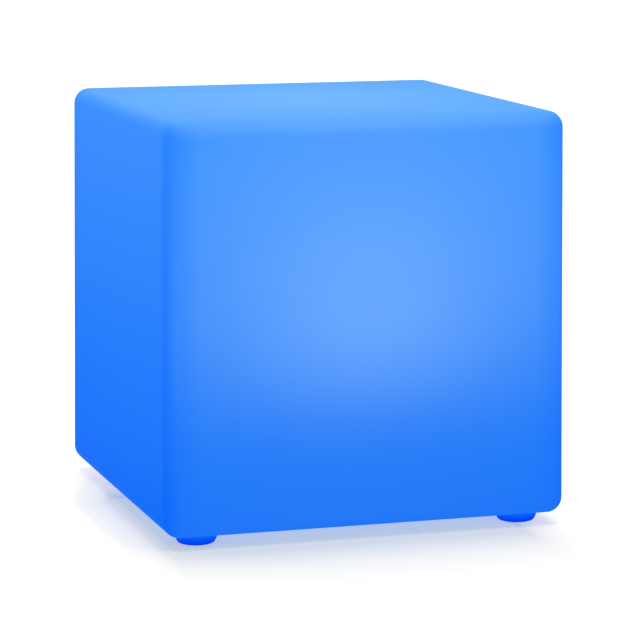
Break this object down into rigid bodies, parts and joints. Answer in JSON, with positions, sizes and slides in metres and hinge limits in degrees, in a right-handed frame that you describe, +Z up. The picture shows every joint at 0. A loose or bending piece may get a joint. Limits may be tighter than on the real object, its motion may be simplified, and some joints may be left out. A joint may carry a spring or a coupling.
{
  "type": "cube light",
  "caption": "Cordless glowing cube light on round feet, with a light module, power button and charging socket in its underside.",
  "frame": {"origin": "on the ground under the middle of the cube", "axes": "+Z up, +X to the right and +Y to the back as seen from the front"},
  "size_m": [0.3998, 0.3998, 0.402],
  "materials": {
    "shell": "rotomoulded translucent polyethylene, satin",
    "foot": "injection-moulded soft translucent plastic",
    "white_abs": "moulded ABS, fine spark-eroded texture",
    "button_abs": "moulded ABS, satin",
    "tray_abs": "moulded ABS, matt",
    "seal_rubber": "moulded silicone rubber",
    "cap_rubber": "moulded elastomer, matt",
    "steel": "stainless steel",
    "brass": "turned brass",
    "nickel": "nickel plated",
    "black_plastic": "moulded thermoplastic",
    "plunger": "moulded acetal",
    "circuit_board": "glass epoxy laminate with solder mask",
    "light_board": "aluminium core board with white solder mask",
    "natural_nylon": "moulded nylon",
    "clear_acrylic": "polished acrylic",
    "frosted": "frosted polycarbonate",
    "lamp_package": "white package with phosphor window",
    "receiver": "dark infrared-pass resin",
    "cell_sleeve": "shrunk sleeve over steel can",
    "wrap": "shrunk vinyl film",
    "lead": "silicone insulated wire"
  },
  "bodies": {
    "lamp": {"cube_shell": "shell", "foot_front_left": "foot", "foot_front_right": "foot", "foot_rear_left": "foot", "foot_rear_right": "foot", "base_plate": "white_abs", "module_housing": "white_abs", "battery_tray": "tray_abs", "battery_cover": "tray_abs", "flange_gasket": "seal_rubber", "housing_seal": "seal_rubber", "dome_seal": "seal_rubber", "cap_anchor": "cap_rubber", "flange_screws": "steel", "housing_screws": "steel", "board_screws": "steel", "tray_screws": "steel", "led_board_screws": "steel", "dome_screws": "steel", "threaded_inserts": "brass", "socket_terminal": "brass", "socket_nut": "nickel", "socket_pin": "nickel", "cell_links": "nickel", "charging_socket": "black_plastic", "socket_washer": "black_plastic", "push_switch": "black_plastic", "board_components": "black_plastic", "control_board": "circuit_board", "led_board": "light_board", "board_connectors": "natural_nylon", "led_board_connector": "natural_nylon", "battery_straps": "natural_nylon", "charge_indicator": "clear_acrylic", "light_dome": "frosted", "led_packages": "lamp_package", "remote_receiver": "receiver", "battery_cells": "cell_sleeve", "battery_wrap": "wrap", "battery_leads": "lead", "light_leads": "lead"},
    "button": {"power_button": "button_abs", "button_seal": "seal_rubber", "switch_plunger": "plunger"},
    "cap": {"socket_cap": "cap_rubber"}
  },
  "joints": [
    {"name": "power_button_press", "type": "slide", "parent": "lamp", "child": "button", "axis": [0, 0, 1], "range_m": [0, 0.0016], "stiffness_N_per_m": 800, "springref_m": -0.0005},
    {"name": "socket_cap_hinge", "type": "hinge", "parent": "lamp", "child": "cap", "pos_m": [0.0285, 0, 0.0122], "axis": [0, -1, 0], "range_deg": [0, 100]}
  ]
}
